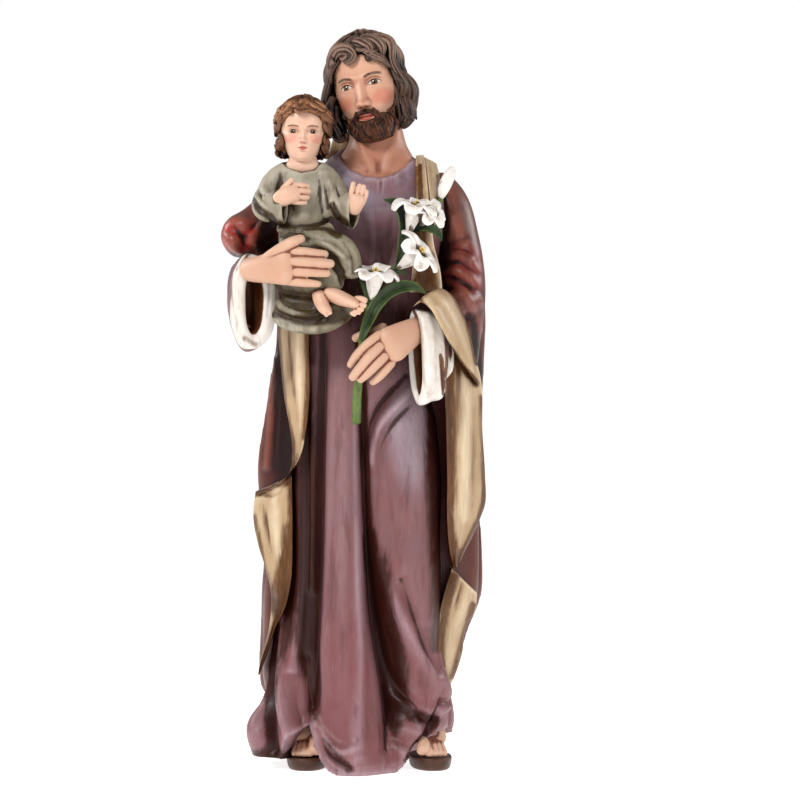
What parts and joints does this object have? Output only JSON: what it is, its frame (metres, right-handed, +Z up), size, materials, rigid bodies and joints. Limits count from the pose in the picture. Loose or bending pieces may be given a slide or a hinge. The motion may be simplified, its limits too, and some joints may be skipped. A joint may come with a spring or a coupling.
{
  "type": "religious statue",
  "caption": "Standing painted figure of a bearded saint in a robe and mantle, holding a child on one arm and a spray of lilies in the other hand.",
  "frame": {"origin": "on the underside, in the plane the figure stands on, below the neck", "axes": "+Z up through the head, -Y out of the figure's front, +X towards its left hand with the lilies"},
  "size_m": [0.1671, 0.1364, 0.4784],
  "materials": {
    "robe": "satin mauve paint under a brown wash",
    "mantle": "satin maroon paint under a brown wash",
    "lining": "satin cream paint under a brown wash",
    "cuff": "satin white paint under a brown wash",
    "skin": "satin skin-coloured paint",
    "hair": "satin dark brown paint",
    "child_hair": "satin brown paint",
    "child_robe": "satin sage-green paint under a brown wash",
    "petals": "satin white paint",
    "leaves": "satin dark green paint",
    "sandals": "satin dark brown paint"
  },
  "bodies": {
    "root": {"saint_statue": "robe"}
  },
  "joints": []
}
